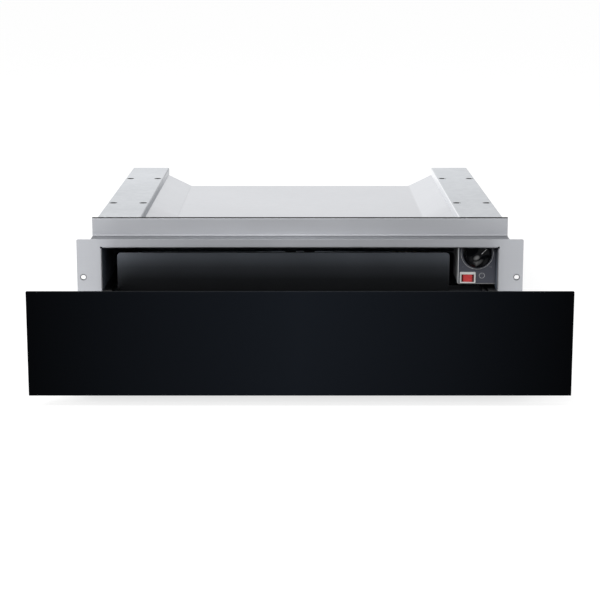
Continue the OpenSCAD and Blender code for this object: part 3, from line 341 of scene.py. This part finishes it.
def wool():
    """Mineral wool: matted fibres along the sheet."""
    f = Finish("mineral_wool", roughness=0.95, sheen_weight=0.25)
    fibre = f.noise((260, 900, 900), 1.0, 6, 0.7, 1.5)
    lumps = f.noise(EVEN, 45.0, 4, 0.6)
    both = f.maths(fibre, lumps)
    f.colour(f.mixed(f.spread(both, 0, 1, 0.7, 1.3), (0.42, 0.36, 0.20), (0.72, 0.66, 0.44)))
    f.relief(both, 0.0008, 0.8)
    return f


def oxidised():
    """Heater sheath, dulled by heat."""
    f = Finish("heater_sheath", metallic=0.8)
    heat = f.noise(EVEN, 40.0, 4, 0.6)
    scale = f.noise(EVEN, 900.0, 3, 0.6)
    f.colour(f.mixed(f.spread(heat, 0, 1), (0.09, 0.085, 0.085), (0.26, 0.22, 0.20)))
    f.roughness(f.spread(scale, 0.45, 0.7))
    f.relief(scale, 0.00003, 0.6)
    return f


def control_metal():
    """Grey painted sheet whose cut front edge is bare; its lower edge is darkened by painted shade."""
    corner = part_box("control_box")[0]
    f = painted("control_metal", (0.56, 0.57, 0.59), 0.42)
    bare = f.maths(f.axis("Y"), corner.y + BARE_EDGE, "LESS_THAN")
    f.colour(f.mixed(bare, f.paint(), (0.78, 0.79, 0.80)))
    f.link(bare, f.bsdf.inputs["Metallic"])
    f.dimmed(f.ramp(f.axis("Z"), corner.z + EDGE_SPAN[0], corner.z + EDGE_SPAN[1], from_edge(corner.z, BOX_EDGE_SHADE)))
    return f


def frame_steel():
    """Satin steel. Its shade across the front and the bar, on the ledge and round the ear holes follows the
    photograph."""
    f = brushed("frame_steel", (0.51, 0.521, 0.549), 0.54, vary=0.04)
    x, z = f.axis("X"), f.axis("Z")
    front = f.ramp(x, *WIDTH_SPAN, FRAME_SHADE)
    bar = f.ramp(x, *WIDTH_SPAN, BAR_SHADE)
    behind = f.maths(f.axis("Y"), FACE_Y + BAR_BEHIND, "GREATER_THAN")
    f.dimmed(f.mixed(behind, front, bar))
    ledge_z = FRAME_TOP_Z - LEDGE_DROP
    ledge = f.ramp(z, ledge_z + EDGE_SPAN[0], ledge_z + EDGE_SPAN[1], from_edge(ledge_z, LEDGE_SHADE))
    f.dimmed(f.mixed(behind, EVEN, ledge))
    rim = f.off(f.from_middle(f.absolute(x), EAR_HOLE["x"]), f.from_middle(z, EAR_HOLE["z"]))
    f.dimmed(f.ramp(rim, *SMALL_SPAN, from_edge(EAR_HOLE["radius"], EAR_RIM_SHADE)))
    return f


def galvanised():
    """Zinc-coated sheet with painted shade round the rail holes. Its painted shade towards the front and on the rails'
    two inner steps follows the photograph: painted light on the right step, painted shade on the left."""
    f = zinc("galvanised_sheet", (0.65, 0.675, 0.71), 0.36, vary=0.035)
    x, y, z = f.axis("X"), f.axis("Y"), f.axis("Z")
    f.dimmed(f.ramp(y, *DEPTH_SPAN, HOUSING_SHADE))
    across = f.from_middle(f.from_middle(f.absolute(x), RAIL_HOLE["x"]), RAIL_HOLE["half_gap"])
    along = f.from_middle(f.from_middle(y, RAIL_HOLE["y"]), RAIL_HOLE["half_pitch"])
    below = f.maths(z, TOP_Z - RAIL_TOP_DEPTH, "LESS_THAN")      # a metre off, so only the rails' tops get painted shade round their holes
    rim = f.off(across, along, below)
    f.dimmed(f.ramp(rim, *SMALL_SPAN, from_edge(RAIL_HOLE["radius"], RAIL_RIM_SHADE)))
    # painted light on the right rail's inner step, painted shade on the left rail's inner step
    paint = f.paint()
    right = f.maths(f.maths(x, STEP_FROM, "GREATER_THAN"), f.maths(f.normal("X"), -STEP_FACING, "LESS_THAN"),
                    "MULTIPLY")
    left = f.maths(f.maths(x, -STEP_FROM, "LESS_THAN"), f.maths(f.normal("X"), STEP_FACING, "GREATER_THAN"),
                   "MULTIPLY")
    f.colour(f.mixed(left, f.mixed(right, paint, RIGHT_STEP), LEFT_STEP))
    return f


def cover():
    """The cover's sheet, shaded in its sunken middle and towards the front as in the photograph."""
    f = zinc("cover_sheet", (0.725, 0.74, 0.775), 0.32, 160, vary=0.012, grain=0.0000015, swing=0.015)
    f.dimmed(f.ramp(f.absolute(f.axis("X")), *COVER_SPAN, COVER_WIDTH_SHADE))
    f.dimmed(f.ramp(f.axis("Y"), *DEPTH_SPAN, COVER_DEPTH_SHADE))
    return f


def knob_plastic():
    """Black. Its two lighter spots are painted, and stand for the two highlights in the photograph."""
    f = moulded("knob_plastic", (0.003, 0.0033, 0.0042), 0.22, specular=0.10)
    lo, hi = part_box("control_knob")
    x, z = f.axis("X"), f.axis("Z")
    lean = math.radians(KNOB_SPOT_LEAN)
    for dx, dz, size, squeeze, level in KNOB_SPOTS:
        u = f.maths(x, (lo.x + hi.x) / 2 + dx, "SUBTRACT")
        v = f.maths(z, (lo.z + hi.z) / 2 + dz, "SUBTRACT")
        along = f.maths(f.maths(u, math.cos(lean), "MULTIPLY"), f.maths(v, math.sin(lean), "MULTIPLY"))
        across = f.maths(f.maths(v, math.cos(lean), "MULTIPLY"), f.maths(u, math.sin(lean), "MULTIPLY"), "SUBTRACT")
        away = f.off(along, f.maths(across, squeeze, "MULTIPLY"))
        near = f.ramp(away, *SMALL_SPAN, ((0.0, 1.0), (size * 0.5, 0.6), (size, 0.0)))
        f.colour(f.mixed(near, f.paint(), (level,) * 3))
    return f


def rocker_plastic():
    """Red, with painted shade that darkens its two bevelled ends."""
    f = moulded("red_plastic", (0.62, 0.060, 0.062), 0.25, 2600, 0.000004)
    lo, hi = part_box("red_rocker")
    end = f.from_middle(f.axis("X"), (lo.x + hi.x) / 2)
    f.dimmed(f.ramp(end, *SMALL_SPAN, from_edge((hi.x - lo.x) / 2, ROCKER_END_SHADE)))
    return f


def drawer_paint():
    """Anthracite powder coat. Its shade by height stands for the light on the back wall in the photograph."""
    f = painted("drawer_paint", (0.120, 0.132, 0.152), 0.33, metallic=0.75)
    f.dimmed(f.ramp(f.axis("Z"), *HEIGHT_SPAN, TRAY_SHADE))
    return f


FINISHES = {
    "galvanised_sheet": galvanised(),
    "cover_sheet": cover(),
    "frame_steel": frame_steel(),
    "black_enamel": painted("black_enamel", (0.130, 0.154, 0.198), 0.3, 500, specular=0.8),
    "drawer_paint": drawer_paint(),
    "carrier_paint": painted("carrier_paint", (0.03, 0.03, 0.032), 0.4),
    "inner_steel": brushed("inner_steel", (0.52, 0.52, 0.53), 0.3),
    "black_glass": black_glass(),
    "runner_steel": zinc("runner_steel", (0.055, 0.057, 0.062), 0.34, 400),
    "cage_steel": brushed("cage_steel", (0.42, 0.42, 0.43), 0.36, "y"),
    "ball_steel": brushed("ball_steel", (0.72, 0.72, 0.73), 0.08, depth=0.000001, edge=0),
    "control_metal": control_metal(),
    "fascia_paint": painted("fascia_paint", (0.070, 0.074, 0.093), 0.4, 1400, specular=0.3),
    "black_plastic": moulded("black_plastic", (0.006, 0.0065, 0.008), 0.13, specular=0.6),
    "grey_plastic": moulded("grey_plastic", (0.74, 0.74, 0.72), 0.4),
    "red_plastic": rocker_plastic(),
    "bakelite": moulded("bakelite", (0.36, 0.27, 0.17), 0.45, 900),
    "heater_sheath": oxidised(),
    "motor_metal": zinc("motor_metal", (0.55, 0.56, 0.58), 0.36, 300),
    "block_plastic": moulded("block_plastic", (0.70, 0.68, 0.60), 0.5),
    "brass_screw": brushed("brass_screw", (0.70, 0.53, 0.26), 0.28, depth=0.000004),
    "black_rubber": moulded("black_rubber", (0.02, 0.02, 0.02), 0.75, 1500, 0.00003, specular=0.3),
    "mat_rubber": moulded("mat_rubber", (0.014, 0.0145, 0.016), 0.62, 1500, 0.00003, specular=0.3),
    "mineral_wool": wool(),
    "screw_steel": brushed("screw_steel", (0.66, 0.66, 0.67), 0.25, depth=0.000003),
}
for part in frame["record"]["subparts"]:
    mesh = nodes[part["node"]].data
    mesh.materials.clear()
    mesh.materials.append(FINISHES[part["material_slot"]].material)
nodes["control_knob"].data.materials[0] = knob_plastic().material


# ---- Pieces that the solids leave to the scene ----
def piece(name, bm, body, finish):
    mesh = bpy.data.meshes.new(name)
    bmesh.ops.recalc_face_normals(bm, faces=bm.faces)
    bm.to_mesh(mesh)
    bm.free()
    mesh.materials.append(finish.material)
    obj = bpy.data.objects.new(name, mesh)
    scene.collection.objects.link(obj)
    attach(obj, body)


def plate(bm, outline, y0, y1):
    """A flat plate between two depths; the outline's points are (x, z)."""
    near = [bm.verts.new((x, y0, z)) for x, z in outline]
    far = [bm.verts.new((x, y1, z)) for x, z in outline]
    bm.faces.new(near)
    bm.faces.new(list(reversed(far)))
    for i in range(len(outline)):
        j = (i + 1) % len(outline)
        bm.faces.new((near[i], near[j], far[j], far[i]))


def arc(bm, centre, radius, width, start, stop, y0, y1, steps):
    """A curved bar that stops short of a full turn; angles are in degrees clockwise from straight up."""
    inner, outer = radius - width / 2, radius + width / 2

    def corner(r, degrees, y):
        a = math.radians(degrees)
        return centre[0] + r * math.sin(a), y, centre[1] + r * math.cos(a)

    rings = [[bm.verts.new(corner(r, turn, y)) for r, y in ((inner, y0), (outer, y0), (outer, y1), (inner, y1))]
             for turn in (start + (stop - start) * i / steps for i in range(steps + 1))]
    for a, b in zip(rings, rings[1:]):
        for k in range(4):
            bm.faces.new((a[k], a[(k + 1) % 4], b[(k + 1) % 4], b[k]))
    bm.faces.new(rings[0])
    bm.faces.new(list(reversed(rings[-1])))


knob_lo, knob_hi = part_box("control_knob")
knob_at = ((knob_lo.x + knob_hi.x) / 2, (knob_lo.z + knob_hi.z) / 2)
fascia_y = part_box("control_fascia")[0].y
skin_y = fascia_y - 0.00004                  # printed marks stand this little off the panel
PRINT_WIDTH = 0.00042
PRINT_GRAIN = (3000, 0.000002, 0)
print_white = moulded("print_white", (0.60, 0.60, 0.60), 0.5, *PRINT_GRAIN)
print_grey = moulded("print_grey", (0.18, 0.18, 0.19), 0.5, *PRINT_GRAIN)

# the pointer's white filling, turned as the knob stands
POINTER_X, POINTER_Z = (0.0012, 0.0017), (0.0038, 0.0141)     # from the knob's middle, before the turn
POINTER_Y = (0.00002, 0.0004)                                 # behind the knob's face
POINTER_TURN = math.radians(45)
bm = bmesh.new()
corners = [(POINTER_X[0], POINTER_Z[0]), (POINTER_X[1], POINTER_Z[0]),
           (POINTER_X[1], POINTER_Z[1]), (POINTER_X[0], POINTER_Z[1])]
plate(bm, [(knob_at[0] + x * math.cos(POINTER_TURN) + z * math.sin(POINTER_TURN),
            knob_at[1] - x * math.sin(POINTER_TURN) + z * math.cos(POINTER_TURN)) for x, z in corners],
      knob_lo.y + POINTER_Y[0], knob_lo.y + POINTER_Y[1])
piece("knob_pointer", bm, "knob", moulded("pointer_white", (0.60, 0.60, 0.60), 0.45))

# the printed ring round the knob
DIAL_RADIUS, DIAL_START, DIAL_STOP = 0.0216, 25, 335
bm = bmesh.new()
arc(bm, knob_at, DIAL_RADIUS, PRINT_WIDTH, DIAL_START, DIAL_STOP, skin_y, fascia_y, 72)
piece("dial_ring", bm, "housing", print_white)


def tick(bm, x, z, length, width):
    """An upright printed bar."""
    plate(bm, [(x + v * width / 2, z + u * length / 2) for u, v in ((-1, -1), (-1, 1), (1, 1), (1, -1))],
          skin_y, fascia_y)


# the power symbol right of the switch
POWER_AT = (0.2443, 0.0610)
POWER_RADIUS, POWER_START, POWER_STOP = 0.0036, 16, 344
POWER_BAR = {"rise": 0.0030, "length": 0.0020, "width": 0.00036}
bm = bmesh.new()
arc(bm, POWER_AT, POWER_RADIUS, PRINT_WIDTH, POWER_START, POWER_STOP, skin_y, fascia_y, 40)
tick(bm, POWER_AT[0], POWER_AT[1] + POWER_BAR["rise"], POWER_BAR["length"], POWER_BAR["width"])
piece("power_symbol", bm, "housing", print_white)

# small marks below the knob on either side: three growing bars on the right, one on the left
MARK_DROP, MARK_WIDTH = 0.0186, 0.0005
RIGHT_MARKS, RIGHT_MARK_X, RIGHT_MARK_STEP = (0.0012, 0.0018, 0.0024), 0.0168, 0.0013
LEFT_MARK, LEFT_MARK_X = 0.0012, 0.0188
bm = bmesh.new()
for i, size in enumerate(RIGHT_MARKS):
    tick(bm, knob_at[0] + RIGHT_MARK_X + RIGHT_MARK_STEP * i, knob_at[1] - MARK_DROP, size, MARK_WIDTH)
tick(bm, knob_at[0] - LEFT_MARK_X, knob_at[1] - MARK_DROP, LEFT_MARK, MARK_WIDTH)
piece("scale_marks", bm, "housing", print_grey)

# a dark strip along the bar's upper edge, a dark piece standing in for the shadow line along it
STRIP_X, STRIP_BEHIND, STRIP_CHAMFER = 0.2775, 0.0255, 0.0002
STRIP_Y = (0.0001, 0.0024)
strip_y = FACE_Y + STRIP_BEHIND
bm = bmesh.new()
plate(bm, [(-STRIP_X, FRAME_TOP_Z), (STRIP_X, FRAME_TOP_Z), (STRIP_X, TOP_Z - STRIP_CHAMFER),
           (STRIP_X - STRIP_CHAMFER, TOP_Z), (STRIP_CHAMFER - STRIP_X, TOP_Z), (-STRIP_X, TOP_Z - STRIP_CHAMFER)],
      strip_y + STRIP_Y[0], strip_y + STRIP_Y[1])
piece("bar_edge_shadow_strip", bm, "housing", FINISHES["black_rubber"])

# black end caps on the fixed runner members; they also keep the runners' front ends dark, standing in for the shade at
# the opening's lower corners
CAP_LIP, CAP_WEB, CAP_DEPTH = 0.0018, 0.0010, 0.00026
for side, name in ((-1, "left"), (1, "right")):
    lo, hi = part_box(f"{name}_outer_runner")
    inner, outer = sorted((abs(lo.x), abs(hi.x)))
    channel = ((outer, lo.z), (outer, hi.z), (inner, hi.z), (inner, hi.z - CAP_LIP),
               (outer - CAP_WEB, hi.z - CAP_LIP), (outer - CAP_WEB, lo.z + CAP_LIP),
               (inner, lo.z + CAP_LIP), (inner, lo.z))
    bm = bmesh.new()
    plate(bm, [(side * x, z) for x, z in channel], lo.y - CAP_DEPTH, lo.y)
    piece(f"{name}_runner_cap", bm, "housing", FINISHES["black_rubber"])


# ---- The tray's four screws ----
SCREW_HEIGHT = 0.0024
SCREW_PROFILE = ((0.0, SCREW_HEIGHT), (0.0012, 0.00235), (0.0026, 0.0019), (0.0035, 0.0010),
                 (0.0037, 0.0004), (0.0037, 0.0))              # radius and height, from the middle outwards
SCREW_SIDES = 28
RECESS_LENGTH, RECESS_WIDTH, RECESS_DEPTH = 0.0040, 0.0009, 0.0022
TRAY_SIDE = 0.021                                              # the height of the tray's low sides
TRAY_SCREWS = (-0.8, -0.3, 0.3, 0.8)                           # shares of the tray's half width


def screw_mesh():
    """A pan-head screw with a cross recess; its seat is at the origin and it points along +Z."""
    bm = bmesh.new()
    rings = []
    for r, z in SCREW_PROFILE:
        if r == 0:
            rings.append([bm.verts.new((0, 0, z))])
            continue
        rings.append([bm.verts.new((r * math.cos(t), r * math.sin(t), z))
                      for t in (2 * math.pi * i / SCREW_SIDES for i in range(SCREW_SIDES))])
    for i in range(SCREW_SIDES):
        j = (i + 1) % SCREW_SIDES
        bm.faces.new((rings[0][0], rings[1][i], rings[1][j]))
        for a, b in zip(rings[1:], rings[2:]):
            bm.faces.new((a[i], b[i], b[j], a[j]))
    bm.faces.new(list(reversed(rings[-1])))
    bmesh.ops.recalc_face_normals(bm, faces=bm.faces)
    head = bpy.data.meshes.new("screw_head")
    bm.to_mesh(head)
    bm.free()
    cross = bmesh.new()
    for size in ((RECESS_LENGTH, RECESS_WIDTH), (RECESS_WIDTH, RECESS_LENGTH)):
        shape = Matrix.Translation((0, 0, SCREW_HEIGHT)) @ Matrix.Diagonal((*size, RECESS_DEPTH, 1))
        bmesh.ops.create_cube(cross, size=1, matrix=shape)
    cutter_mesh = bpy.data.meshes.new("cutter")
    cross.to_mesh(cutter_mesh)
    cross.free()
    base = bpy.data.objects.new("screw_base", head)
    cutter = bpy.data.objects.new("cutter", cutter_mesh)
    scene.collection.objects.link(base)
    scene.collection.objects.link(cutter)
    cut = base.modifiers.new("recess", "BOOLEAN")
    cut.object = cutter
    cut.use_self = True
    bpy.context.view_layer.update()
    result = bpy.data.meshes.new_from_object(base.evaluated_get(bpy.context.evaluated_depsgraph_get()))
    for obj in (base, cutter):
        bpy.data.objects.remove(obj)
    result.materials.clear()
    result.materials.append(FINISHES["screw_steel"].material)
    return result


SCREW = screw_mesh()


def screw(name, place, facing, body, turn):
    obj = bpy.data.objects.new(name, SCREW)
    look = Vector(facing).to_track_quat("Z", "Y").to_matrix().to_4x4()
    obj.matrix_world = Matrix.Translation(place) @ look @ Matrix.Rotation(turn, 4, "Z")
    scene.collection.objects.link(obj)
    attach(obj, body)


tray_lo, tray_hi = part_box("drawer_tray")
for i, share in enumerate(TRAY_SCREWS):
    screw(f"tray_screw_{i + 1}", (share * tray_hi.x, tray_lo.y + 0.001, tray_lo.z + 0.55 * TRAY_SIDE),
          (0, 1, 0), "drawer", 0.4 + 0.7 * i)


# ---- Floor, world and lamps ----
def either(tree, a, b):
    node = tree.nodes.new("ShaderNodeMath")
    node.operation = "MAXIMUM"
    tree.links.new(a, node.inputs[0])
    tree.links.new(b, node.inputs[1])
    return node.outputs[0]


def by_ray(tree, rays, seen, other):
    """One strength for rays of a kind and another for the rest; each is a number or a socket."""
    node = tree.nodes.new("ShaderNodeMapRange")
    tree.links.new(rays, node.inputs["Value"])
    for key, value in (("To Min", other), ("To Max", seen)):
        if isinstance(value, float):
            node.inputs[key].default_value = value
        else:
            tree.links.new(value, node.inputs[key])
    return node.outputs["Result"]


def make_floor():
    """A pale floor that keeps the object's shadow and glows to white for the camera, metal and glass."""
    mesh = bpy.data.meshes.new("floor")
    corners = [(x * FLOOR_HALF, y * FLOOR_HALF, 0) for x, y in ((-1, -1), (1, -1), (1, 1), (-1, 1))]
    mesh.from_pydata(corners, [], [(0, 1, 2, 3)])
    floor = bpy.data.objects.new("floor", mesh)
    scene.collection.objects.link(floor)
    material = bpy.data.materials.new("floor")
    material.use_nodes = True
    tree = material.node_tree
    tree.nodes.clear()
    out = tree.nodes.new("ShaderNodeOutputMaterial")
    diffuse = tree.nodes.new("ShaderNodeBsdfDiffuse")
    diffuse.inputs["Color"].default_value = (FLOOR_GREY, FLOOR_GREY, FLOOR_GREY, 1)
    glow = tree.nodes.new("ShaderNodeEmission")
    rays = tree.nodes.new("ShaderNodeLightPath").outputs
    watching = either(tree, either(tree, rays["Is Camera Ray"], rays["Is Glossy Ray"]), rays["Is Transmission Ray"])
    tree.links.new(by_ray(tree, watching, FLOOR_GLOW, 0.0), glow.inputs["Strength"])
    both = tree.nodes.new("ShaderNodeAddShader")
    tree.links.new(diffuse.outputs[0], both.inputs[0])
    tree.links.new(glow.outputs[0], both.inputs[1])
    tree.links.new(both.outputs[0], out.inputs["Surface"])
    mesh.materials.append(material)


def make_world():
    """White for the camera and plain for the object's light; metal and glass see it dimmer on the right."""
    world = bpy.data.worlds.new("world")
    scene.world = world
    world.use_nodes = True
    tree = world.node_tree
    background = tree.nodes["Background"]
    background.inputs["Color"].default_value = (1, 1, 1, 1)
    rays = tree.nodes.new("ShaderNodeLightPath").outputs
    direction = tree.nodes.new("ShaderNodeSeparateXYZ")
    tree.links.new(tree.nodes.new("ShaderNodeTexCoord").outputs["Generated"], direction.inputs[0])
    mirrored = tree.nodes.new("ShaderNodeMapRange")
    mirrored.interpolation_type = "SMOOTHSTEP"
    tree.links.new(direction.outputs["X"], mirrored.inputs["Value"])
    for key, number in MIRRORED_WORLD.items():
        mirrored.inputs[key].default_value = number
    mirroring = either(tree, rays["Is Glossy Ray"], rays["Is Transmission Ray"])
    unseen = by_ray(tree, mirroring, mirrored.outputs[0], WORLD_LIGHT)
    tree.links.new(by_ray(tree, rays["Is Camera Ray"], WORLD_SEEN, unseen), background.inputs["Strength"])


def area(name, place, size, power):
    data = bpy.data.lights.new(name, "AREA")
    data.shape = "RECTANGLE"
    data.size, data.size_y = size
    data.energy = power
    lamp = bpy.data.objects.new(name, data)
    lamp.location = place
    lamp.visible_camera = False
    lamp.rotation_euler = (Vector(LAMP_AIM) - Vector(place)).to_track_quat("-Z", "Y").to_euler()
    scene.collection.objects.link(lamp)


make_floor()
make_world()
for name, lamp in LAMPS.items():
    area(name, **lamp)
